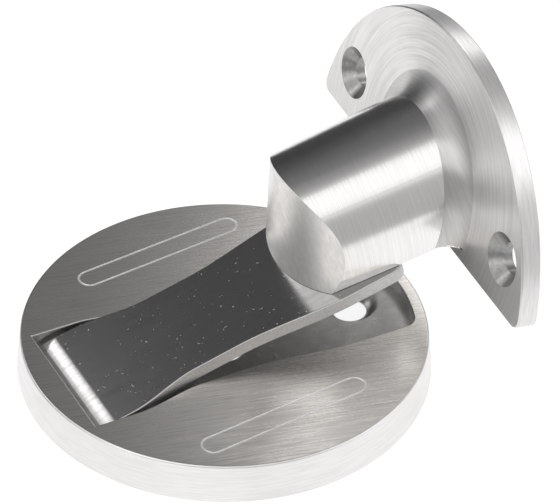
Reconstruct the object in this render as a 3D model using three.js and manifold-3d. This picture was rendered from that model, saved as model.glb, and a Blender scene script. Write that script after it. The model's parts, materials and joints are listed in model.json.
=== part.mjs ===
// Magnetic floor door holder: a round floor plate with a see-saw flap in its pocket, and a door
// unit whose magnet has lifted the flap. Millimetres, +Z up, +X from the flap's hinge to the door.
import * as THREE from 'three';
import { mergeVertices } from 'three/addons/utils/BufferGeometryUtils.js';
import Module from 'manifold-3d';

const wasm = await Module();
wasm.setup();

// ---- driving dimensions -------------------------------------------------------------------
const PLATE = { topR: 37.5, footR: 38.15, height: 7.84, edge: 0.35, recessR: 34.4, recessTop: 2.7 };
const POCKET = { floorZ: 5.0, endX: -32.4, rimR: 35.1, clearance: 0.7 };
const WAIST = { wide: 13.0, dip: 2.2, from: -24, full: -10, until: -1, to: 22, cornerR: 3.0 };
const SCREW_HOLES = { xs: [0, 26], holeR: 3.2, sinkR: 5.75, sinkDepth: 2.05 };
const HINGE = { x: -23, z: 3.87, pinR: 1.5, boreR: 1.75, knuckleR: 2.9, knuckleLength: 25.0 };
const PIN_LENGTH = 34.0;
const WELL = { toX: -19.3 };
const FLAP = { thickness: 2.5, tailX: -31.7, endR: 34.7, tailRound: 9.0, tailFrom: -27.2 };
const LIFT = THREE.MathUtils.degToRad(14.4);
const BLOCK = { x0: -27.5, x1: -11.0, y0: 13.9, y1: 21.5, bottomZ: 2.37 };
const KEEPER = { x0: -26.0, x1: -12.0, y0: 14.3, y1: 20.3, thickness: 1.05, topZ: 2.25, holeR: 1.4 };
const KEEPER_SCREW = { x: -15.5, y: 17.3, headR: 1.9, headHeight: 0.7, shankR: 1.1, topZ: 6.2, holeR: 1.35 };
const DOOR = { along: 57.6, aside: 2.15, gap: 0.3, turn: THREE.MathUtils.degToRad(-2.5) };
const FLANGE = { x: 6.74, z: -5.96, lean: THREE.MathUtils.degToRad(23.6), radius: 40, thickness: 3.9 };
const FLANGE_CUT = { chord: 3.6, cornerR: 2.0 };
const FLANGE_HOLES = { up: 13.0, aside: 30.25, holeR: 2.9, sinkR: 5.0 };
const BOSS = { up: 10.6, rootR: 15.65, taper: 0.045, fillet: 4.0, height: 32, sunk: 1.5 };
const BOSS_DROOP = THREE.MathUtils.degToRad(19.6);
const NOSE = { radius: 20.4, slope: 0.25, height: 30 };
const MAGNET = { x: -5.0, pocketR: 10.4, pocketDepth: 6.8, boreR: 1.8, boreTop: 12.5 };
const CUP = { outerR: 10.1, innerR: 8.4, from: 0.3, to: 6.5, base: 1.5, holeR: 1.8 };
const RING = { outerR: 8.1, holeR: 2.1, sinkR: 3.9, from: 0.5, to: 4.7 };
const MAGNET_SCREW = { headR: 3.4, shankR: 1.5, from: 0.6, to: 11.8, socketR: 1.4, socketDepth: 1.2 };
const ROUND = 96;
const SMALL = 32;
const REACH = 60; // further than anything reaches, for cutting right through

// ---- materials ----------------------------------------------------------------------------
function metal(color, roughness, metalness = 1.0) {
  return new THREE.MeshStandardMaterial({ color, roughness, metalness });
}
const brushedPlate = metal(0xb9b7b2, 0.32);
const polishedFlap = metal(0x8f8f8f, 0.25);
const castBracket = metal(0xcfcfcd, 0.3);
const plainSteel = metal(0xa9aaac, 0.35);
const nickel = metal(0xc7c3b8, 0.2);

// ---- solids -------------------------------------------------------------------------------
function toSolid(geometry) {
  const bare = geometry.clone();
  bare.deleteAttribute('normal');
  bare.deleteAttribute('uv');
  const merged = mergeVertices(bare, 1e-4);
  const points = merged.attributes.position;
  const corners = [0, 1, 2].map(() => new THREE.Vector3());
  const faces = [];
  let volume = 0;
  for (let i = 0; i < merged.index.count; i += 3) {
    const ids = [0, 1, 2].map((k) => merged.index.getX(i + k));
    if (new Set(ids).size < 3) continue;
    ids.forEach((id, k) => corners[k].fromBufferAttribute(points, id));
    volume += corners[0].dot(corners[1].clone().cross(corners[2]));
    faces.push(ids);
  }
  if (volume < 0) faces.forEach((ids) => ids.reverse());
  return new wasm.Manifold(new wasm.Mesh({
    numProp: 3,
    vertProperties: new Float32Array(points.array),
    triVerts: new Uint32Array(faces.flat()),
  }));
}

function toGeometry(solid) {
  const mesh = solid.getMesh();
  const geometry = new THREE.BufferGeometry();
  geometry.setAttribute('position', new THREE.BufferAttribute(new Float32Array(mesh.vertProperties), 3));
  geometry.setIndex(new THREE.BufferAttribute(new Uint32Array(mesh.triVerts), 1));
  geometry.computeVertexNormals();
  return geometry;
}

function piece(name, solid, material) {
  const mesh = new THREE.Mesh(toGeometry(solid), material);
  mesh.name = name;
  return mesh;
}

// A profile of [radius, height] pairs turned about +Z.
function turned(profile, segments) {
  const points = profile.map(([r, z]) => new THREE.Vector2(r, z));
  return new THREE.LatheGeometry(points, segments).rotateX(Math.PI / 2);
}

function rod(radius, z0, z1, segments = SMALL) {
  return turned([[0, z0], [radius, z0], [radius, z1], [0, z1]], segments);
}

function block(x0, x1, y0, y1, z0, z1) {
  return new THREE.BoxGeometry(x1 - x0, y1 - y0, z1 - z0)
    .translate((x0 + x1) / 2, (y0 + y1) / 2, (z0 + z1) / 2);
}

// A block given by its x range and its distance from the centre plane, on either side of it.
function sideBlock({ x0, x1, y0, y1 }, side, z0, z1) {
  return block(x0, x1, side > 0 ? y0 : -y1, side > 0 ? y1 : -y0, z0, z1);
}

function crossBar(radius, length, x, z, segments = SMALL) {
  return new THREE.CylinderGeometry(radius, radius, length, segments).translate(x, 0, z);
}

// ---- the waisted outline shared by the flap and its pocket --------------------------------
function halfWidth(x) {
  const narrowing = THREE.MathUtils.smoothstep(x, WAIST.from, WAIST.full);
  const widening = THREE.MathUtils.smoothstep(x, WAIST.until, WAIST.to);
  return WAIST.wide - WAIST.dip * narrowing * (1 - widening);
}

// Its ends on the +X side are an arc about the plate's middle, with rounded corners.
function outline(startX, endR, extra, steps = 26, cornerSteps = 4, arcSteps = 8) {
  const { wide, cornerR } = WAIST;
  const centreY = wide + extra - cornerR;
  const centreX = Math.sqrt((endR - cornerR) ** 2 - centreY ** 2);
  const half = [];
  for (let i = 0; i <= steps; i += 1) {
    const x = startX + ((centreX - startX) * i) / steps;
    half.push(new THREE.Vector2(x, halfWidth(x) + extra));
  }
  const bend = Math.atan2(centreY, centreX);
  for (let i = 1; i <= cornerSteps; i += 1) {
    const angle = Math.PI / 2 + ((bend - Math.PI / 2) * i) / cornerSteps;
    half.push(new THREE.Vector2(centreX + cornerR * Math.cos(angle), centreY + cornerR * Math.sin(angle)));
  }
  const arc = [];
  for (let i = 1; i < arcSteps; i += 1) {
    const angle = bend - (2 * bend * i) / arcSteps;
    arc.push(new THREE.Vector2(endR * Math.cos(angle), endR * Math.sin(angle)));
  }
  const mirrored = half.map((p) => new THREE.Vector2(p.x, -p.y)).reverse();
  return new THREE.Shape([...half, ...arc, ...mirrored]);
}

function extruded(shape, z0, z1) {
  return new THREE.ExtrudeGeometry(shape, { depth: z1 - z0, bevelEnabled: false }).translate(0, 0, z0);
}

// ---- floor plate --------------------------------------------------------------------------
function floorPlate() {
  const { topR, footR, height, edge, recessR, recessTop } = PLATE;
  let plate = toSolid(turned([
    [0, recessTop], [recessR - 0.3, recessTop], [recessR, 0], [footR - edge, 0], [footR, edge],
    [topR + 0.03, height - edge], [topR - 0.1, height - 0.1], [topR - edge, height], [0, height],
  ], ROUND));
  for (const side of [-1, 1]) {
    plate = plate.add(toSolid(sideBlock(BLOCK, side, BLOCK.bottomZ, recessTop + 1)));
  }
  const pocket = outline(POCKET.endX, POCKET.rimR, POCKET.clearance);
  plate = plate.subtract(toSolid(extruded(pocket, POCKET.floorZ, REACH)));
  const wellEnd = toSolid(block(POCKET.endX - 1, WELL.toX, -REACH, REACH, -REACH, REACH));
  plate = plate.subtract(toSolid(extruded(pocket, -1, REACH)).intersect(wellEnd));
  for (const x of SCREW_HOLES.xs) plate = plate.subtract(toSolid(floorScrewHole(x)));
  const groove = block(HINGE.x - HINGE.boreR, HINGE.x + HINGE.boreR, -PIN_LENGTH / 2 - 0.3,
    PIN_LENGTH / 2 + 0.3, -1, HINGE.z);
  plate = plate.subtract(toSolid(groove));
  plate = plate.subtract(toSolid(crossBar(HINGE.boreR, PIN_LENGTH + 0.6, HINGE.x, HINGE.z)));
  for (const side of [-1, 1]) {
    const hole = rod(KEEPER_SCREW.holeR, -1, KEEPER_SCREW.topZ + 0.3);
    plate = plate.subtract(toSolid(hole.translate(KEEPER_SCREW.x, side * KEEPER_SCREW.y, 0)));
  }
  return plate;
}

function floorScrewHole(x) {
  const { holeR, sinkR, sinkDepth } = SCREW_HOLES;
  const top = POCKET.floorZ;
  const beyond = 0.5;
  const widerR = sinkR + (beyond * (sinkR - holeR)) / sinkDepth;
  return turned([
    [0, 0], [holeR, 0], [holeR, top - sinkDepth], [widerR, top + beyond], [0, top + beyond],
  ], 48).translate(x, 0, 0);
}

// ---- flap ---------------------------------------------------------------------------------
function flap() {
  const top = PLATE.height;
  const bottom = top - FLAP.thickness;
  const plan = toSolid(extruded(outline(FLAP.tailX, FLAP.endR, 0), bottom - 1, top + 1));
  const profile = new THREE.Shape();
  profile.moveTo(REACH, bottom);
  profile.lineTo(REACH, top);
  profile.lineTo(FLAP.tailFrom, top);
  const turn = Math.asin((FLAP.tailFrom - FLAP.tailX) / FLAP.tailRound);
  profile.absarc(FLAP.tailFrom, top - FLAP.tailRound, FLAP.tailRound, Math.PI / 2, Math.PI / 2 + turn, false);
  profile.lineTo(FLAP.tailX, bottom);
  const slab = new THREE.ExtrudeGeometry(profile, { depth: REACH, bevelEnabled: false, curveSegments: 10 })
    .rotateX(Math.PI / 2).translate(0, REACH / 2, 0);
  const knuckle = crossBar(HINGE.knuckleR, HINGE.knuckleLength, HINGE.x, HINGE.z);
  const bore = crossBar(HINGE.boreR, REACH, HINGE.x, HINGE.z);
  return plan.intersect(toSolid(slab)).add(toSolid(knuckle)).subtract(toSolid(bore));
}

// ---- hinge pin and its keepers ------------------------------------------------------------
function keeper(side) {
  const { thickness, topZ, holeR } = KEEPER;
  const strap = toSolid(sideBlock(KEEPER, side, topZ - thickness, topZ));
  const hole = rod(holeR, -1, topZ + 1).translate(KEEPER_SCREW.x, side * KEEPER_SCREW.y, 0);
  return strap.subtract(toSolid(hole));
}

function keeperScrew(side) {
  const { x, y, headR, headHeight, shankR, topZ } = KEEPER_SCREW;
  const seatZ = KEEPER.topZ - KEEPER.thickness - 0.08;
  const body = turned([
    [0, seatZ - headHeight], [headR - 0.25, seatZ - headHeight], [headR, seatZ - headHeight + 0.25],
    [headR, seatZ], [shankR, seatZ], [shankR, topZ - 0.4], [shankR - 0.4, topZ], [0, topZ],
  ], SMALL);
  const slot = block(-0.25, 0.25, -REACH / 2, REACH / 2, -1, seatZ - headHeight + 0.35);
  return toSolid(body).subtract(toSolid(slot)).translate([x, side * y, 0]);
}

// ---- door unit, in a frame whose z = 0 is the flat contact face --------------------------
function flangeFrame(depth) {
  const up = new THREE.Vector3(Math.sin(FLANGE.lean), 0, Math.cos(FLANGE.lean));
  const aside = new THREE.Vector3(0, 1, 0);
  const out = new THREE.Vector3(-Math.cos(FLANGE.lean), 0, Math.sin(FLANGE.lean));
  const origin = new THREE.Vector3(FLANGE.x, 0, FLANGE.z).addScaledVector(out, depth);
  return { up, aside, out, matrix: new THREE.Matrix4().makeBasis(up, aside, out).setPosition(origin) };
}

function flangeShape() {
  const { radius } = FLANGE;
  const { chord, cornerR } = FLANGE_CUT;
  const near = chord + cornerR;
  const across = Math.sqrt((radius - cornerR) ** 2 - near ** 2);
  const bend = Math.atan2(across, near);
  const shape = new THREE.Shape();
  shape.absarc(0, 0, radius, -bend, bend, false);
  shape.absarc(near, across, cornerR, bend, Math.PI, false);
  shape.absarc(near, -across, cornerR, Math.PI, 2 * Math.PI - bend, false);
  return shape;
}

// The boss droops from the flange's normal, so its turned form is stretched and sheared.
function boss() {
  const { up, rootR, taper, fillet, height, sunk } = BOSS;
  const along = 1 / Math.cos(BOSS_DROOP);
  const radiusAt = (q) => rootR - taper * q * along;
  const profile = [[0, -sunk], [rootR + fillet, -sunk]];
  for (let i = 0; i <= 6; i += 1) {
    const angle = (Math.PI / 2) * (i / 6);
    const q = fillet * (1 - Math.cos(angle));
    profile.push([radiusAt(q) + fillet * (1 - Math.sin(angle)), q]);
  }
  profile.push([radiusAt(height), height], [0, height]);
  const frame = flangeFrame(0);
  const drooped = frame.out.clone().addScaledVector(frame.up, -Math.tan(BOSS_DROOP));
  const origin = new THREE.Vector3().setFromMatrixPosition(frame.matrix).addScaledVector(frame.up, up);
  const matrix = new THREE.Matrix4()
    .makeBasis(frame.up.clone().multiplyScalar(along), frame.aside, drooped).setPosition(origin);
  return toSolid(turned(profile, ROUND).applyMatrix4(matrix));
}

// What lies ahead of the rounded nose, a cone about the contact face's normal.
function aheadOfNose() {
  const top = NOSE.radius - NOSE.slope * NOSE.height;
  const under = NOSE.radius + NOSE.slope;
  const cone = new THREE.CylinderGeometry(top, under, NOSE.height + 1, ROUND)
    .rotateX(Math.PI / 2).translate(0, 0, (NOSE.height - 1) / 2);
  return toSolid(block(-REACH, 0, -REACH, REACH, -0.5, NOSE.height - 0.5)).subtract(toSolid(cone));
}

function doorBracket() {
  let body = boss().subtract(aheadOfNose());
  body = body.subtract(toSolid(block(-REACH, REACH, -REACH, REACH, -REACH, 0)));
  const { thickness } = FLANGE;
  const slab = { depth: thickness, bevelEnabled: false, curveSegments: 48 };
  const plate = new THREE.ExtrudeGeometry(flangeShape(), slab);
  body = body.add(toSolid(plate.applyMatrix4(flangeFrame(-thickness).matrix)));
  const { up, aside, holeR, sinkR } = FLANGE_HOLES;
  for (const side of [-1, 1]) {
    const hole = turned([
      [0, -thickness - 1], [holeR, -thickness - 1], [holeR, holeR - sinkR], [sinkR + 0.5, 0.5], [0, 0.5],
    ], 48).translate(up, side * aside, 0);
    body = body.subtract(toSolid(hole.applyMatrix4(flangeFrame(0).matrix)));
  }
  const pocket = rod(MAGNET.pocketR, -1, MAGNET.pocketDepth, 64).translate(MAGNET.x, 0, 0);
  const bore = rod(MAGNET.boreR, 0, MAGNET.boreTop).translate(MAGNET.x, 0, 0);
  return body.subtract(toSolid(pocket)).subtract(toSolid(bore));
}

function magnetCup() {
  const { outerR, innerR, from, to, base, holeR } = CUP;
  return toSolid(turned([
    [holeR, to - base], [innerR, to - base], [innerR, from], [outerR, from], [outerR, to - 0.5],
    [outerR - 0.5, to], [holeR, to], [holeR, to - base],
  ], 64));
}

function magnetRing() {
  const { outerR, holeR, sinkR, from, to } = RING;
  return toSolid(turned([
    [sinkR, from], [outerR, from], [outerR, to], [holeR, to], [holeR, from + sinkR - holeR], [sinkR, from],
  ], 64));
}

function magnetScrew() {
  const { headR, shankR, from, to, socketR, socketDepth } = MAGNET_SCREW;
  const body = toSolid(turned([
    [0, from], [headR, from], [headR, from + 0.2], [shankR, from + 0.2 + headR - shankR],
    [shankR, to - 0.5], [shankR - 0.5, to], [0, to],
  ], SMALL));
  return body.subtract(toSolid(rod(socketR, from - 1, from + socketDepth, 6)));
}

// ---- assembly -----------------------------------------------------------------------------
const assembly = new THREE.Group();
assembly.add(piece('floor_plate', floorPlate(), brushedPlate));
assembly.add(piece('hinge_pin', toSolid(crossBar(HINGE.pinR, PIN_LENGTH, HINGE.x, HINGE.z)), plainSteel));
for (const [side, word] of [[-1, 'near'], [1, 'far']]) {
  assembly.add(piece(`pin_keeper_${word}`, keeper(side), plainSteel));
  assembly.add(piece(`keeper_screw_${word}`, keeperScrew(side), plainSteel));
}

// Everything above the hinge turns about the pin: the flap, and the magnet face resting on it.
const raised = new THREE.Group();
raised.position.set(HINGE.x, 0, HINGE.z);
raised.rotation.y = -LIFT;
assembly.add(raised);
const flapMesh = piece('flap', flap(), polishedFlap);
flapMesh.position.set(-HINGE.x, 0, -HINGE.z);
raised.add(flapMesh);

const doorUnit = new THREE.Group();
doorUnit.position.set(DOOR.along, DOOR.aside, PLATE.height - HINGE.z + DOOR.gap);
doorUnit.rotation.z = DOOR.turn;
raised.add(doorUnit);
doorUnit.add(piece('door_bracket', doorBracket(), castBracket));
for (const [name, solid, material] of [
  ['magnet_cup', magnetCup(), plainSteel],
  ['magnet_ring', magnetRing(), nickel],
  ['magnet_screw', magnetScrew(), plainSteel],
]) {
  const mesh = piece(name, solid, material);
  mesh.position.x = MAGNET.x;
  doorUnit.add(mesh);
}

// The origin is the middle of the whole footprint, on the floor.
const model = new THREE.Group();
model.add(assembly);
model.updateMatrixWorld(true);
const bounds = new THREE.Box3().setFromObject(assembly, true);
const centre = bounds.getCenter(new THREE.Vector3());
assembly.position.set(-centre.x, -centre.y, -bounds.min.z);

export default model;
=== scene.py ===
"""Magnetic floor door holder: smooth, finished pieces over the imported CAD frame. Metres."""
import json
import math

import bmesh
import bpy
from mathutils import Matrix, Vector


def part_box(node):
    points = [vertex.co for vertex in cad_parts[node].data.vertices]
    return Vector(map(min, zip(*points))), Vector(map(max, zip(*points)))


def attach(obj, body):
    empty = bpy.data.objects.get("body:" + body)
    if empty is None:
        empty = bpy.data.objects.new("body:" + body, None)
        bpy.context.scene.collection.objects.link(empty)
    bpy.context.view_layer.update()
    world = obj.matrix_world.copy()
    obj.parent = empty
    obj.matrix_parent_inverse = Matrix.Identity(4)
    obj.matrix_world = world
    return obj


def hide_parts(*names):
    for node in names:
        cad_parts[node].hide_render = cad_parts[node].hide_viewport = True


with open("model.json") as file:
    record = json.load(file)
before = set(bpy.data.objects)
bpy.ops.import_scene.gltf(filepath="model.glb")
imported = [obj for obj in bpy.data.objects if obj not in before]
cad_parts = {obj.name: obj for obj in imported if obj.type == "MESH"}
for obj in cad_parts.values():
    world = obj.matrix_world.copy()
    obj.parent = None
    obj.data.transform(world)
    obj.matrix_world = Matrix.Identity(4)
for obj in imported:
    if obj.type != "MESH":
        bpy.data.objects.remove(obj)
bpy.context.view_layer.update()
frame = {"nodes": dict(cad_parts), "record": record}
MM = 0.001

# ---- sizes, in millimetres, as in the CAD model -------------------------------------------
PLATE = dict(top_r=37.5, foot_r=38.15, height=7.84, edge=0.45, foot_chamfer=0.1,
             recess_r=34.4, recess_top=2.7, recess_draft=0.3)
POCKET = dict(floor_z=5.0, end_x=-32.4, rim_r=35.1, clearance=0.7)
WAIST = dict(wide=13.0, dip=2.2, start=-24.0, full=-10.0, until=-1.0, end=22.0, corner=3.0)
SCREW_HOLES = dict(xs=(0.0, 26.0), shape=dict(hole_r=3.2, sink_r=5.75, depth=2.05))
HINGE = dict(x=-23.0, z=3.87, bore_r=1.75, knuckle_r=2.9, length=25.0, pin_length=34.0, end_play=0.3)
WELL_X = -19.3  # the pocket goes right through the plate from its hinge end up to here
FLAP = dict(thickness=2.5, tail_x=-31.7, end_r=34.7, tail_round=9.0, tail_from=-27.2)
BLOCK = dict(x0=-27.5, x1=-11.0, y0=13.9, y1=21.5, bottom=2.37)  # a rail on each side of the hinge
KEEPER_HOLE = dict(x=-15.5, y=17.3, r=1.35, top=6.5)
DOOR = dict(along=57.6, aside=2.15, gap=0.3, turn=-2.5)
FLANGE = dict(x=6.74, z=-5.96, lean=23.6, radius=40.0, thickness=3.9, chord=3.6, corner=2.0)
FLANGE_HOLES = dict(up=13.0, aside=30.25, shape=dict(hole_r=2.9, sink_r=5.0, depth=2.1))
BOSS = dict(up=10.6, root_r=15.65, taper=0.045, fillet=4.0, height=32.0, sunk=1.5, droop=19.6,
            fillet_steps=18, steps=7)
NOSE = dict(radius=20.4, slope=0.25, height=30.0)
MAGNET = dict(x=-5.0, pocket_r=10.4, depth=6.8, bore_r=1.8, bore_top=12.5)
FRAME_LINE = dict(half_length=15.0, radius=2.3, width=0.45, depth=0.12, x=-1.0, y=25.8, turn=6.0)
CONTACT_DROP = 0.22  # how far the boss's flat underside lies under the CAD model's, closer to the flap
EDGE = 0.3  # how far edges are rounded
SPECK = 0.03  # points nearer than this are joined
FAR = 60.0  # further than anything reaches, for cutting right through
WALL_SLACK = 0.02  # keeps two cutters' walls from lying in one plane
NEAR = 0.05  # how near a face lies to a surface that it belongs to

# ---- steps round a circle -----------------------------------------------------------------
FINE = 240
MEDIUM = 96
COARSE = 64
TINY = 32

# ---- finish -------------------------------------------------------------------------------
FINE_SHARE = 0.55  # how much of the tone comes from the fine lines, and not from the patches
ROUGH_SPREAD = 0.05
PITS = dict(scale=1.6, from_to=(0.735, 0.80), tone=0.85, depth=2.0, rougher=0.3)
TOP_GRAIN_TURN = -13  # degrees from the flap's length to the lines on the plate's top
ROUND_GRAIN = 20.0  # how fine the grain is along lines that run round the boss
ACROSS_LINES = 0.25  # of a full turn: turning lines spread reflections at right angles to themselves

# ---- studio, in metres, degrees and brightness --------------------------------------------
# Degrees from straight up, positive towards the front, and how bright the studio is there.
SKY_BAND = (
    (-180, 0.05), (-62, 0.05), (-44, 0.08), (-15, 0.18), (5, 0.38),
    (14, 1.25), (42, 1.25), (52, 0.5), (180, 0.45),
)
SKY_LEFT = dict(from_to=(-0.30, -0.14), above=(0.2, 0.4), front=(0.1, 0.45), level=0.85)
SKY_RIGHT = dict(from_to=(0.24, 0.55), level=0.3)
TAIL_SOFTBOX = dict(position=(-0.16, 0.36, 0.36), size=(0.12, 0.16), brightness=1.6)
RIGHT_CARD = dict(position=(0.135, 0.14, 0.175), size=(0.10, 0.10), brightness=1.25)
LIGHTS_AIM = (0, 0, 0.02)
FLOOR = dict(radius=0.32, steps=96, white=0.3, glow=0.84)
CAMERA = dict(azimuth=-28.138, elevation=38.801, roll=1.355, distance=0.65502, lens=229.85,
              aim=(0.013045, 0.003686, 0.018758))

# ---- where the CAD frame puts things ------------------------------------------------------
plate_low, plate_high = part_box("floor_plate")
PLATE_CENTRE = Vector(((plate_low.x + plate_high.x) / 2, (plate_low.y + plate_high.y) / 2, plate_low.z))


def joint(name):
    joints = frame["record"]["behaviour"]["joints"]
    return next(j for j in joints if j["name"] == name)


LIFT = math.radians(-joint("flap_hinge")["range_deg"][0])
PIVOT = Vector(joint("flap_hinge")["pos_m"])
TO_PLATE = Matrix.Translation(PLATE_CENTRE) @ Matrix.Scale(MM, 4)
RAISED = Matrix.Translation(PIVOT) @ Matrix.Rotation(-LIFT, 4, "Y") @ Matrix.Scale(MM, 4)
TO_FLAP = RAISED @ Matrix.Translation((-HINGE["x"], 0, -HINGE["z"]))
TO_DOOR = (
    RAISED
    @ Matrix.Translation((DOOR["along"], DOOR["aside"], PLATE["height"] - HINGE["z"] + DOOR["gap"]))
    @ Matrix.Rotation(math.radians(DOOR["turn"]), 4, "Z")
)


def axes_matrix(x, y, z, origin):
    return Matrix((
        (x.x, y.x, z.x, origin.x), (x.y, y.y, z.y, origin.y), (x.z, y.z, z.z, origin.z), (0, 0, 0, 1),
    ))


LEAN = math.radians(FLANGE["lean"])
DROOP = math.radians(BOSS["droop"])
UP = Vector((math.sin(LEAN), 0, math.cos(LEAN)))
ASIDE = Vector((0, 1, 0))
OUT = Vector((-math.cos(LEAN), 0, math.sin(LEAN)))
FLANGE_ORIGIN = Vector((FLANGE["x"], 0, FLANGE["z"]))
TO_FLANGE = axes_matrix(UP, ASIDE, OUT, FLANGE_ORIGIN)
BOSS_ORIGIN = FLANGE_ORIGIN + UP * BOSS["up"]
BOSS_SLANT = OUT - UP * math.tan(DROOP)
BOSS_AXIS = BOSS_SLANT.normalized()
ROUND_BOSS = TO_DOOR @ axes_matrix(BOSS_AXIS.cross(ASIDE), ASIDE, BOSS_AXIS, BOSS_ORIGIN)
ON_FLANGE = TO_DOOR @ TO_FLANGE @ Matrix.Translation((BOSS["up"], 0, 0))


# ---- mesh code ----------------------------------------------------------------------------
def new_object(name, bm):
    bmesh.ops.recalc_face_normals(bm, faces=bm.faces)
    mesh = bpy.data.meshes.new(name)
    bm.to_mesh(mesh)
    bm.free()
    obj = bpy.data.objects.new(name, mesh)
    bpy.context.scene.collection.objects.link(obj)
    return obj


def loft(name, rings, matrix=None, closed=False):
    """Skin a stack of outlines with the same number of points; flat ends unless it closes on itself."""
    bm = bmesh.new()
    made = [[bm.verts.new(point) for point in ring] for ring in rings]
    if not closed:
        bm.faces.new(made[0][::-1])
        bm.faces.new(made[-1])
    following = made[1:] + made[:1] if closed else made[1:]
    for low, high in zip(made, following):
        for k in range(len(low)):
            n = (k + 1) % len(low)
            bm.faces.new((low[k], low[n], high[n], high[k]))
    bmesh.ops.transform(bm, matrix=matrix or Matrix.Identity(4), verts=bm.verts)
    return new_object(name, bm)


def lathe(name, profile, steps, matrix=None):
    """Turn (radius, height) pairs about Z, with a flat face at each end."""
    turns = [2 * math.pi * k / steps for k in range(steps)]
    rings = [[(r * math.cos(a), r * math.sin(a), z) for a in turns] for r, z in profile]
    return loft(name, rings, matrix)


def prism(name, outline, z0, z1, matrix=None):
    return loft(name, [[(x, y, z) for x, y in outline] for z in (z0, z1)], matrix)


def block(name, x0, x1, y0, y1, z0, z1):
    return prism(name, [(x0, y0), (x1, y0), (x1, y1), (x0, y1)], z0, z1)


def cross_bar(name, radius, length, x, z):
    turn = Matrix.Translation((x, 0, z)) @ Matrix.Rotation(math.pi / 2, 4, "X")
    return lathe(name, [(radius, -length / 2), (radius, length / 2)], COARSE, turn)


def baked(obj):
    """Put what the modifiers make into the object's own mesh."""
    evaluated = obj.evaluated_get(bpy.context.evaluated_depsgraph_get())
    mesh = bpy.data.meshes.new_from_object(evaluated)
    obj.modifiers.clear()
    obj.data = mesh
    return obj


def combine(obj, other, operation):
    modifier = obj.modifiers.new("combine", "BOOLEAN")
    modifier.operation = operation
    modifier.solver = "EXACT"
    modifier.object = other
    baked(obj)
    bpy.data.objects.remove(other)
    return obj


def cut(obj, *others):
    for other in others:
        combine(obj, other, "DIFFERENCE")
    return obj


def join(obj, other):
    return combine(obj, other, "UNION")


def soften(obj, width, angle=30, flat=0.3, segments=3):
    """Round the edges sharper than an angle, after joining faces that are as good as flat."""
    bm = bmesh.new()
    bm.from_mesh(obj.data)
    bmesh.ops.remove_doubles(bm, verts=bm.verts, dist=SPECK)
    bmesh.ops.dissolve_degenerate(bm, edges=bm.edges, dist=SPECK)
    bmesh.ops.dissolve_limit(bm, verts=bm.verts, edges=bm.edges, angle_limit=math.radians(flat))
    bm.to_mesh(obj.data)
    bm.free()
    bevel = obj.modifiers.new("bevel", "BEVEL")
    bevel.width = width
    bevel.segments = segments
    bevel.limit_method = "ANGLE"
    bevel.angle_limit = math.radians(angle)
    bevel.miter_outer = "MITER_ARC"
    return baked(obj)


def smooth(obj, sharp=40, flat_weight=60):
    """Shade everything smooth, with flat faces kept flat and sharp edges kept sharp."""
    for polygon in obj.data.polygons:
        polygon.use_smooth = True
    obj.data.set_sharp_from_angle(angle=math.radians(sharp))
    weighted = obj.modifiers.new("normals", "WEIGHTED_NORMAL")
    weighted.keep_sharp = True
    weighted.weight = flat_weight
    return baked(obj)


def quarter(size, steps=4):
    """How far an edge rounded by a quarter circle has moved in, and how far it is below the top."""
    turns = [math.pi / 2 * k / steps for k in range(steps + 1)]
    return [(size * (1 - math.cos(a)), size * (1 - math.sin(a))) for a in turns]


def place(obj, matrix):
    obj.data.transform(matrix)
    obj.data.update()
    return obj


# ---- outlines -----------------------------------------------------------------------------
def smoothstep(x, low, high):
    t = min(1.0, max(0.0, (x - low) / (high - low)))
    return t * t * (3 - 2 * t)


def half_width(x):
    narrowing = smoothstep(x, WAIST["start"], WAIST["full"])
    widening = smoothstep(x, WAIST["until"], WAIST["end"])
    return WAIST["wide"] - WAIST["dip"] * narrowing * (1 - widening)


def arc(cx, cy, radius, first, last, steps):
    turns = [first + (last - first) * k / steps for k in range(steps + 1)]
    return [(cx + radius * math.cos(a), cy + radius * math.sin(a)) for a in turns]


def waisted(start_x, end_r, extra, steps=90):
    """The flap's outline: waisted sides, and an arc about the plate's middle with round corners."""
    corner = WAIST["corner"]
    cy = WAIST["wide"] + extra - corner
    cx = math.sqrt((end_r - corner) ** 2 - cy ** 2)
    bend = math.atan2(cy, cx)
    xs = [start_x + (cx - start_x) * k / steps for k in range(steps + 1)]
    half = [(x, half_width(x) + extra) for x in xs] + arc(cx, cy, corner, math.pi / 2, bend, 12)[1:]
    end = arc(0, 0, end_r, bend, -bend, 30)[1:-1]
    return [(x, -y) for x, y in half] + end[::-1] + half[::-1]


def stadium(half_length, radius):
    right = arc(half_length, 0, radius, -math.pi / 2, math.pi / 2, 24)
    return right + arc(-half_length, 0, radius, math.pi / 2, 3 * math.pi / 2, 24)


def flange_outline(inset):
    corner = FLANGE["corner"]
    near = FLANGE["chord"] + corner
    across = math.sqrt((FLANGE["radius"] - corner) ** 2 - near ** 2)
    bend = math.atan2(across, near)

    rim = arc(0, 0, FLANGE["radius"] - inset, -bend, bend, 150)
    far = arc(near, across, corner - inset, bend, math.pi, 14)[1:]
    return rim + far + arc(near, -across, corner - inset, math.pi, 2 * math.pi - bend, 14)[:-1]


# ---- pieces -------------------------------------------------------------------------------
def rounded(r, z, size, steps=5):
    """An outer top corner at (r, z), rounded."""
    turns = [math.pi / 2 * k / steps for k in range(steps + 1)]
    return [(r - size + size * math.cos(a), z - size + size * math.sin(a)) for a in turns]


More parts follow.
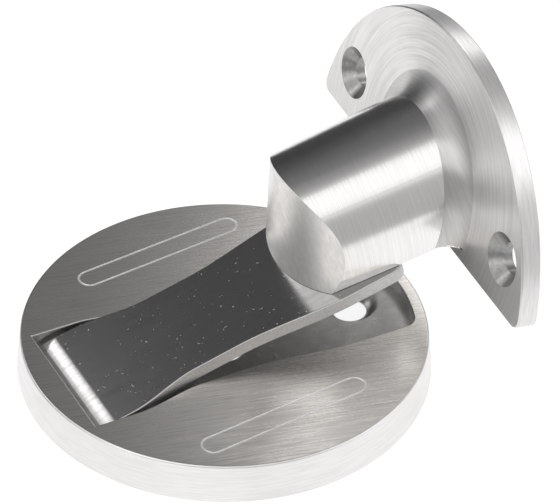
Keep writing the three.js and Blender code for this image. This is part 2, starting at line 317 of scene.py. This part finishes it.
def plate_body():
    foot, edge = PLATE["foot_r"], PLATE["edge"]
    draft, chamfer = PLATE["recess_draft"], PLATE["foot_chamfer"]
    rings = [(PLATE["recess_r"] - draft, PLATE["recess_top"]), (PLATE["recess_r"], 0), (foot - edge, 0)]
    rings += [(foot - chamfer, chamfer), (foot, edge)] + rounded(PLATE["top_r"], PLATE["height"], edge)
    plate = lathe("door_holder_plate", rings, FINE)
    for side in (-1, 1):
        ys = sorted((side * BLOCK["y0"], side * BLOCK["y1"]))
        join(plate, block("rail", BLOCK["x0"], BLOCK["x1"], *ys, BLOCK["bottom"], PLATE["recess_top"] + 1))
    return plate


def make_plate():
    plate = plate_body()
    cut(plate, pocket_cutter())
    for x in SCREW_HOLES["xs"]:
        cut(plate, screw_hole(Matrix.Translation((x, 0, POCKET["floor_z"])), FAR, **SCREW_HOLES["shape"]))
    half = HINGE["pin_length"] / 2 + HINGE["end_play"]
    wall = HINGE["bore_r"] - WALL_SLACK
    cut(
        plate,
        block("groove", HINGE["x"] - wall, HINGE["x"] + wall, -half, half, -1, HINGE["z"]),
        cross_bar("bed", HINGE["bore_r"], 2 * half, HINGE["x"], HINGE["z"]),
    )
    for side in (-1, 1):
        spot = Matrix.Translation((KEEPER_HOLE["x"], side * KEEPER_HOLE["y"], 0))
        cut(plate, lathe("hole", [(KEEPER_HOLE["r"], z) for z in (-1, KEEPER_HOLE["top"])], TINY, spot))
    for side in (-1, 1):
        cut(plate, line_cutter(side))
    return place(smooth(plate), TO_PLATE)


def line_cutter(side):
    """The narrow groove engraved on one side of the plate's top, along a rounded outline."""
    outer = stadium(FRAME_LINE["half_length"], FRAME_LINE["radius"])
    inner = stadium(FRAME_LINE["half_length"], FRAME_LINE["radius"] - FRAME_LINE["width"])
    low = PLATE["height"] - FRAME_LINE["depth"]
    turn = Matrix.Translation((FRAME_LINE["x"], side * FRAME_LINE["y"], 0))
    turn = turn @ Matrix.Rotation(math.radians(FRAME_LINE["turn"]), 4, "Z")
    levels = ((outer, low), (outer, FAR), (inner, FAR), (inner, low))
    return loft("line", [[(x, y, z) for x, y in shape] for shape, z in levels], turn, closed=True)


def pocket_cutter():
    """The pocket, which goes right through the plate under the flap's hinge."""
    def outline(grow):
        return waisted(POCKET["end_x"] - grow, POCKET["rim_r"] + grow, POCKET["clearance"] + grow)

    levels = [(0, -1)] + [(grow, PLATE["height"] - drop) for grow, drop in quarter(EDGE)] + [(EDGE, FAR)]
    cutter = loft("pocket", [[(x, y, z) for x, y in outline(grow)] for grow, z in levels])
    return cut(cutter, block("floor", WELL_X, FAR, -FAR, FAR, -2, POCKET["floor_z"]))


def screw_hole(matrix, through, hole_r, sink_r, depth):
    """A cutter for a countersunk hole whose mouth lies at z = 0."""
    wider = sink_r + 0.5 * (sink_r - hole_r) / depth
    return lathe("hole", [(hole_r, -through), (hole_r, -depth), (wider, 0.5)], MEDIUM, matrix)


def flap_plan(inset):
    return waisted(FLAP["tail_x"] - 1, FLAP["end_r"] - inset, -inset)


def make_flap():
    """Where the flap's side view and its plan overlap, with a knuckle round the hinge pin."""
    top = PLATE["height"]
    bottom = top - FLAP["thickness"]
    radius = FLAP["tail_round"]
    turn = math.asin((FLAP["tail_from"] - FLAP["tail_x"]) / radius)
    tail = arc(FLAP["tail_from"], top - radius, radius, math.pi / 2, math.pi / 2 + turn, 16)
    side = [(FAR, bottom), (FAR, top)] + tail + [(FLAP["tail_x"], bottom)]
    upright = Matrix.Rotation(math.pi / 2, 4, "X")
    flap = prism("door_holder_flap", side, -FAR / 2, FAR / 2, upright)
    levels = [(0, bottom - 1)] + [(inset, top - drop) for inset, drop in quarter(EDGE)]
    plan = [[(x, y, z) for x, y in flap_plan(inset)] for inset, z in levels]
    combine(flap, loft("plan", plan), "INTERSECT")
    join(flap, cross_bar("knuckle", HINGE["knuckle_r"], HINGE["length"], HINGE["x"], HINGE["z"]))
    cut(flap, cross_bar("bore", HINGE["bore_r"], FAR, HINGE["x"], HINGE["z"]))
    return place(smooth(flap), TO_FLAP)


def boss_solid():
    """The drooping round boss, as its radius at each distance q out from the flange."""
    along = 1 / math.cos(DROOP)
    fillet, root = BOSS["fillet"], BOSS["root_r"]

    def radius_at(q):
        return root - BOSS["taper"] * q * along

    profile = [(root + fillet, -BOSS["sunk"])]
    profile += [(radius_at(q) + out, q) for q, out in quarter(fillet, BOSS["fillet_steps"])]
    rest = (BOSS["height"] - fillet) / BOSS["steps"]
    heights = [fillet + rest * k for k in range(1, BOSS["steps"] + 1)]
    profile += [(radius_at(q), q) for q in heights]
    matrix = axes_matrix(UP * along, ASIDE, BOSS_SLANT, BOSS_ORIGIN)
    return lathe("door_holder_bracket", profile, FINE, matrix)


def flange_solid():
    back = [(inset, drop - FLANGE["thickness"]) for inset, drop in quarter(EDGE)[::-1]]
    levels = back + [(inset, -drop) for inset, drop in quarter(EDGE)]
    return loft("flange", [[(x, y, z) for x, y in flange_outline(inset)] for inset, z in levels], TO_FLANGE)


def make_bracket():
    bracket = boss_solid()
    top = NOSE["radius"] - NOSE["slope"] * NOSE["height"]
    nose = lathe("nose", [(NOSE["radius"] + NOSE["slope"], -1), (top, NOSE["height"])], FINE)
    ahead = block("ahead", -FAR, 0, -FAR, FAR, -0.5, NOSE["height"] - 0.5)
    cut(ahead, nose)
    cut(bracket, ahead, block("below", -FAR, FAR, -FAR, FAR, -FAR, -CONTACT_DROP))
    soften(bracket, EDGE)
    join(bracket, flange_solid())
    for side in (-1, 1):
        spot = TO_FLANGE @ Matrix.Translation((FLANGE_HOLES["up"], side * FLANGE_HOLES["aside"], 0))
        cut(bracket, screw_hole(spot, FLANGE["thickness"] + 2, **FLANGE_HOLES["shape"]))
    spot = Matrix.Translation((MAGNET["x"], 0, 0))
    for radius, depth in ((MAGNET["pocket_r"], MAGNET["depth"]), (MAGNET["bore_r"], MAGNET["bore_top"])):
        cut(bracket, lathe("bore", [(radius, -1), (radius, depth)], MEDIUM, spot))
    return place(smooth(bracket), TO_DOOR)


# ---- materials ----------------------------------------------------------------------------
class Nodes:
    """A short way to build a node tree."""

    def __init__(self, name):
        self.material = bpy.data.materials.new(name)
        self.material.use_nodes = True
        self.tree = self.material.node_tree
        self.shader = self.tree.nodes["Principled BSDF"]
        self.object_coords = self.node("ShaderNodeTexCoord").outputs["Object"]

    def node(self, kind, **inputs):
        made = self.tree.nodes.new(kind)
        for key, value in inputs.items():
            self.feed(made.inputs[key.replace("_", " ")], value)
        return made

    def feed(self, socket, value):
        if isinstance(value, bpy.types.NodeSocket):
            self.tree.links.new(value, socket)
        else:
            socket.default_value = value

    def math(self, operation, *values):
        made = self.tree.nodes.new("ShaderNodeMath")
        made.operation = operation
        for socket, value in zip(made.inputs, values):
            self.feed(socket, value)
        return made.outputs[0]

    def local(self, matrix):
        """Object coordinates turned into a piece's own frame, in millimetres."""
        rows = matrix.inverted()
        parts = []
        for row in list(rows)[:3]:
            made = self.tree.nodes.new("ShaderNodeVectorMath")
            made.operation = "DOT_PRODUCT"
            self.feed(made.inputs[0], self.object_coords)
            made.inputs[1].default_value = row[:3]
            parts.append(self.math("ADD", made.outputs["Value"], row[3]))
        return parts

    def vector(self, x, y, z):
        return self.node("ShaderNodeCombineXYZ", X=x, Y=y, Z=z).outputs[0]

    def noise(self, vector, scale, detail=2.0, roughness=0.5):
        inputs = dict(Vector=vector, Scale=scale, Detail=detail, Roughness=roughness)
        return self.node("ShaderNodeTexNoise", **inputs).outputs["Fac"]

    def ramp(self, value, low, high, start=0.0, end=1.0):
        inputs = dict(Value=value, From_Min=low, From_Max=high, To_Min=start, To_Max=end)
        return self.node("ShaderNodeMapRange", **inputs).outputs[0]

    def mix(self, factor, first, second):
        made = self.tree.nodes.new("ShaderNodeMix")
        made.data_type = "RGBA"
        self.feed(made.inputs["Factor"], factor)
        self.feed(made.inputs["A"], first)
        self.feed(made.inputs["B"], second)
        return made.outputs["Result"]

    def turning_lines(self, matrix, amount):
        """Fine lines round the Z axis of a piece's frame, which spread reflections across them.

        The directions are the world's, so this suits a piece that slides but never turns.
        """
        x, y, _ = self.local(matrix)
        columns = matrix.to_3x3().col
        parts = []
        for column, share in ((columns[0], self.math("MULTIPLY", y, -1.0)), (columns[1], x)):
            made = self.tree.nodes.new("ShaderNodeVectorMath")
            made.operation = "SCALE"
            made.inputs[0].default_value = column.normalized()
            self.feed(made.inputs["Scale"], share)
            parts.append(made.outputs[0])
        along = self.tree.nodes.new("ShaderNodeVectorMath")
        for socket, part in zip(along.inputs, parts):
            self.feed(socket, part)
        self.feed(self.shader.inputs["Tangent"], along.outputs[0])
        self.shader.inputs["Anisotropic"].default_value = amount
        self.shader.inputs["Anisotropic Rotation"].default_value = ACROSS_LINES

    def bump(self, height, strength, distance=0.0001):
        made = self.node("ShaderNodeBump", Height=height, Strength=strength, Distance=distance)
        self.feed(self.shader.inputs["Normal"], made.outputs["Normal"])


def grey(value, warm=0.0):
    return (value * (1 + warm), value, value * (1 - warm), 1.0)


def pitted(n, position, colour, height, amount):
    """Scatter small bright pits over a surface, and give the colour, the height and where they are."""
    spot = n.ramp(n.noise(position, PITS["scale"], 1.0, 0.4), *PITS["from_to"])
    colour = n.mix(n.math("MULTIPLY", spot, amount), colour, grey(PITS["tone"]))
    return colour, n.math("SUBTRACT", height, n.math("MULTIPLY", spot, PITS["depth"])), spot


def brushed(name, coords, grain, tones, rough, bump, patches=0.03, pits=0.0, warm=0.01, lines=None):
    """Brushed metal: fine lines, soft patches in tone, and optionally small pits or turning lines."""
    n = Nodes(name)
    x, y, z = coords(n)
    position = n.vector(x, y, z)
    stretched = n.vector(*(n.math("MULTIPLY", v, g) for v, g in zip((x, y, z), grain)))
    fine = n.noise(stretched, 1.0, 3.0, 0.65)
    cloud = n.noise(position, patches, 4.0, 0.6)
    tone = n.math("ADD", n.math("MULTIPLY", fine, FINE_SHARE), n.math("MULTIPLY", cloud, 1 - FINE_SHARE))
    dark, light = tones
    colour = n.mix(n.ramp(tone, 0.35, 0.65), grey(dark, warm), grey(light, warm))
    roughness = n.ramp(tone, 0.3, 0.7, rough + ROUGH_SPREAD, rough - ROUGH_SPREAD)
    height = fine
    if pits:
        colour, height, spot = pitted(n, position, colour, height, pits)
        roughness = n.math("ADD", roughness, n.math("MULTIPLY", spot, PITS["rougher"]))
    n.feed(n.shader.inputs["Base Color"], colour)
    n.feed(n.shader.inputs["Roughness"], roughness)
    n.shader.inputs["Metallic"].default_value = 1.0
    if lines:
        n.turning_lines(*lines)
    n.bump(height, bump)
    return n.material


def plate_top_coords(n):
    return n.local(TO_PLATE @ Matrix.Rotation(math.radians(TOP_GRAIN_TURN), 4, "Z"))


def plate_coords(n):
    return n.local(TO_PLATE)


def flap_coords(n):
    return n.local(TO_FLAP)


def boss_coords(n):
    return n.local(ROUND_BOSS)


def flange_coords(n):
    """Distance from the boss, angle round it, and depth: lines run round the boss."""
    x, y, z = n.local(ON_FLANGE)
    radius = n.math("SQRT", n.math("ADD", n.math("MULTIPLY", x, x), n.math("MULTIPLY", y, y)))
    angle = n.math("MULTIPLY", n.math("ARCTAN2", y, x), ROUND_GRAIN)
    return radius, angle, z


plate_top = brushed("plate_top", plate_top_coords, grain=(0.10, 3.0, 1.0), tones=(0.54, 0.90),
                    rough=0.29, bump=0.2, patches=0.045, warm=0.035)
plate_side = brushed("plate_side", plate_coords, grain=(0.15, 0.15, 4.0), tones=(0.70, 0.84),
                     rough=0.32, bump=0.2)
# The darker tone of the pocket, its walls, the holes and the underside is painted shade under the flap and
# in the recesses.
pocket_painted_shade = brushed("pocket_painted_shade", plate_coords, grain=(0.5, 0.5, 0.5), tones=(0.36, 0.48),
                       rough=0.30, bump=0.1)
engraved = brushed("engraved", plate_coords, grain=(2.0, 2.0, 2.0), tones=(0.80, 0.95),
                   rough=0.5, bump=0.3)
flap_face = brushed("flap_face", flap_coords, grain=(0.10, 1.4, 1.0), tones=(0.44, 0.58),
                    rough=0.19, bump=0.05, patches=0.06, pits=0.5)
flap_edge = brushed("flap_edge", flap_coords, grain=(2.5, 2.5, 2.5), tones=(0.40, 0.56),
                    rough=0.42, bump=0.4)
boss_skin = brushed("boss_skin", boss_coords, grain=(0.10, 0.10, 5.0), tones=(0.74, 0.88),
                    rough=0.20, bump=0.06)
# The fillet's turning lines are real; its darker tone is painted shade in the crease where the boss meets
# the flange.
fillet_painted_shade = brushed("fillet_painted_shade", boss_coords, grain=(0.10, 0.10, 5.0), tones=(0.50, 0.64),
                      rough=0.38, bump=0.10, lines=(ROUND_BOSS, 0.95))
nose_skin = brushed("nose_skin", boss_coords, grain=(0.5, 0.4, 3.0), tones=(0.72, 0.92),
                    rough=0.40, bump=0.3, patches=0.12)
flange_skin = brushed("flange_skin", flange_coords, grain=(2.5, 0.06, 0.2), tones=(0.62, 0.88),
                      rough=0.36, bump=0.12, lines=(ON_FLANGE, 0.92))
flange_rim = brushed("flange_rim", flange_coords, grain=(0.3, 0.3, 2.5), tones=(0.62, 0.82),
                     rough=0.30, bump=0.2)
# The dark tone in the screw holes is painted shade inside them.
countersink_painted_shade = brushed("countersink_painted_shade", flange_coords, grain=(1.5, 1.5, 1.5), tones=(0.26, 0.40),
                      rough=0.30, bump=0.15)
hardware = brushed("hardware", plate_coords, grain=(2.0, 0.5, 2.0), tones=(0.5, 0.65),
                   rough=0.35, bump=0.3)
nickel = brushed("nickel", plate_coords, grain=(1.0, 1.0, 1.0), tones=(0.68, 0.78),
                 rough=0.2, bump=0.1, warm=0.03)


def assign(obj, materials, choose):
    """Give each polygon the one of the materials that choose(polygon) names."""
    obj.data.materials.clear()
    for material in materials:
        obj.data.materials.append(material)
    for polygon in obj.data.polygons:
        polygon.material_index = materials.index(choose(polygon))


def finish_plate(plate):
    groove = PLATE["height"] - FRAME_LINE["depth"]
    rim = PLATE["top_r"] - PLATE["edge"] - NEAR
    beside = (WAIST["wide"] + FRAME_LINE["y"]) / 2
    inverse = TO_PLATE.inverted()

    def choose(polygon):
        spot = inverse @ polygon.center
        if polygon.normal.z > 0.9 and spot.z > groove:
            return plate_top
        if math.hypot(spot.x, spot.y) > rim:
            return plate_side
        if spot.z > groove - NEAR and abs(spot.y) > beside:
            return engraved
        # Everything else, in the pocket, the holes and underneath, takes the darker tone: painted shade.
        return pocket_painted_shade

    assign(plate, (plate_top, plate_side, pocket_painted_shade, engraved), choose)


def finish_flap(flap):
    up = (TO_FLAP.to_3x3() @ Vector((0, 0, 1))).normalized()
    inverse = TO_FLAP.inverted()
    middle = PLATE["height"] - FLAP["thickness"] / 2

    def choose(polygon):
        on_top = polygon.normal.dot(up) > 0.8 and (inverse @ polygon.center).z > middle
        return flap_face if on_top else flap_edge

    assign(flap, (flap_face, flap_edge), choose)


def finish_bracket(bracket):
    to_flange = (TO_DOOR @ TO_FLANGE).inverted()
    to_door = TO_DOOR.inverted()
    out = (TO_DOOR.to_3x3() @ OUT).normalized()

    def in_hole(local):
        off = math.hypot(local.x - FLANGE_HOLES["up"], abs(local.y) - FLANGE_HOLES["aside"])
        return local.z < -NEAR and off < FLANGE_HOLES["shape"]["sink_r"]

    def on_nose(spot, normal):
        cone = NOSE["radius"] - NOSE["slope"] * spot.z
        return spot.x < 0 and normal.x < -0.2 and abs(math.hypot(spot.x, spot.y) - cone) < EDGE + NEAR

    def choose(polygon):
        local = to_flange @ polygon.center
        spot = to_door @ polygon.center
        normal = (to_door.to_3x3() @ polygon.normal).normalized()
        # Hole walls take the dark material: painted shade in the holes.
        if in_hole(local):
            return countersink_painted_shade
        if local.z < EDGE / 2:
            return flange_skin if abs(polygon.normal.dot(out)) > 0.7 else flange_rim
        if spot.z <= NEAR:
            return boss_skin
        # The fillet takes the darker material: painted shade where the boss meets the flange.
        if local.z < BOSS["fillet"]:
            return fillet_painted_shade
        return nose_skin if on_nose(spot, normal) else boss_skin

    assign(bracket, (boss_skin, nose_skin, flange_skin, flange_rim, countersink_painted_shade, fillet_painted_shade), choose)


plate = make_plate()
finish_plate(plate)
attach(plate, "floor_unit")
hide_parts("floor_plate")

flap = make_flap()
finish_flap(flap)
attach(flap, "flap")
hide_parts("flap")

bracket = make_bracket()
finish_bracket(bracket)
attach(bracket, "door_unit")
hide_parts("door_bracket")

KEPT = dict(
    hinge_pin=hardware, pin_keeper_near=hardware, pin_keeper_far=hardware,
    keeper_screw_near=hardware, keeper_screw_far=hardware,
    magnet_cup=hardware, magnet_ring=nickel, magnet_screw=hardware,
)
for node, material in KEPT.items():
    kept = frame["nodes"][node]
    kept.data.materials.clear()
    kept.data.materials.append(material)


# ---- floor, light and camera --------------------------------------------------------------
def stage_floor():
    """A round floor that glows a little, so that it stays as white as the studio behind it."""
    bm = bmesh.new()
    bmesh.ops.create_circle(bm, cap_ends=True, segments=FLOOR["steps"], radius=FLOOR["radius"])
    floor = new_object("floor", bm)
    for polygon in floor.data.polygons:
        polygon.use_smooth = True
    n = Nodes("floor_white")
    n.shader.inputs["Base Color"].default_value = grey(FLOOR["white"])
    n.shader.inputs["Roughness"].default_value = 0.9
    n.shader.inputs["Emission Color"].default_value = grey(1.0)
    n.shader.inputs["Emission Strength"].default_value = FLOOR["glow"]
    floor.data.materials.append(n.material)


def soft_light(name, position, size, brightness):
    """A soft box of a given brightness, which the camera doesn't see."""
    data = bpy.data.lights.new(name, "AREA")
    data.shape = "RECTANGLE"
    data.size, data.size_y = size
    data.energy = brightness * math.pi * size[0] * size[1]
    light = bpy.data.objects.new(name, data)
    light.location = position
    light.rotation_euler = (Vector(LIGHTS_AIM) - Vector(position)).to_track_quat("-Z", "Y").to_euler()
    light.visible_camera = False
    bpy.context.scene.collection.objects.link(light)


def studio_world():
    """Brightness by the angle from straight up towards the front, and lighter on both sides."""
    world = bpy.data.worlds.new("studio")
    world.use_nodes = True
    tree = world.node_tree

    def made(kind, *values):
        node = tree.nodes.new(kind)
        for socket, value in zip(node.inputs, values):
            if isinstance(value, bpy.types.NodeSocket):
                tree.links.new(value, socket)
            else:
                socket.default_value = value
        return node

    def calc(operation, *values):
        node = made("ShaderNodeMath", *values)
        node.operation = operation
        return node.outputs[0]

    def step(value, low, high, start, end):
        node = made("ShaderNodeMapRange", value, low, high, start, end)
        node.interpolation_type = "SMOOTHSTEP"
        return node.outputs[0]

    split = made("ShaderNodeSeparateXYZ", made("ShaderNodeTexCoord").outputs["Generated"])
    x, y, z = split.outputs
    front = calc("MULTIPLY", y, -1.0)
    turn = calc("DIVIDE", calc("ARCTAN2", front, z), math.pi)
    band = made("ShaderNodeValToRGB", calc("MULTIPLY_ADD", turn, 0.5, 0.5))
    stops = band.color_ramp.elements
    while len(stops) < len(SKY_BAND):
        stops.new(0.5)
    for stop, (angle, level) in zip(stops, SKY_BAND):
        stop.position = angle / 360 + 0.5
        stop.color = grey(level)
    above = step(z, *SKY_LEFT["above"], 0.0, 1.0)
    behind = step(front, *SKY_LEFT["front"], 1.0, 0.0)
    left = step(x, *SKY_LEFT["from_to"], SKY_LEFT["level"], 0.0)
    left = calc("MULTIPLY", left, calc("MULTIPLY", above, behind))
    right = step(x, *SKY_RIGHT["from_to"], 0.0, SKY_RIGHT["level"])
    total = calc("ADD", calc("ADD", band.outputs["Color"], left), right)
    seen = made("ShaderNodeLightPath").outputs["Is Camera Ray"]
    strength = made("ShaderNodeMapRange", seen, 0.0, 1.0, total, 1.0)
    tree.links.new(strength.outputs[0], tree.nodes["Background"].inputs["Strength"])
    tree.nodes["Background"].inputs["Color"].default_value = grey(1.0)
    bpy.context.scene.world = world


def place_camera():
    a, e, r = (math.radians(CAMERA[key]) for key in ("azimuth", "elevation", "roll"))
    back = Vector((math.sin(a) * math.cos(e), -math.cos(a) * math.cos(e), math.sin(e)))
    right = Vector((math.cos(a), math.sin(a), 0))
    up = back.cross(right)
    x = right * math.cos(r) + up * math.sin(r)
    y = up * math.cos(r) - right * math.sin(r)
    location = PLATE_CENTRE + Vector(CAMERA["aim"]) + back * CAMERA["distance"]
    data = bpy.data.cameras.new("camera")
    data.lens = CAMERA["lens"]
    data.sensor_width = 36.0
    data.clip_end = 20.0
    camera = bpy.data.objects.new("camera", data)
    camera.matrix_world = axes_matrix(x, y, back, location)
    bpy.context.scene.collection.objects.link(camera)
    bpy.context.scene.camera = camera


stage_floor()
studio_world()
soft_light("tail_softbox", **TAIL_SOFTBOX)
soft_light("right_card", **RIGHT_CARD)
place_camera()
bpy.context.scene.view_settings.view_transform = "Standard"
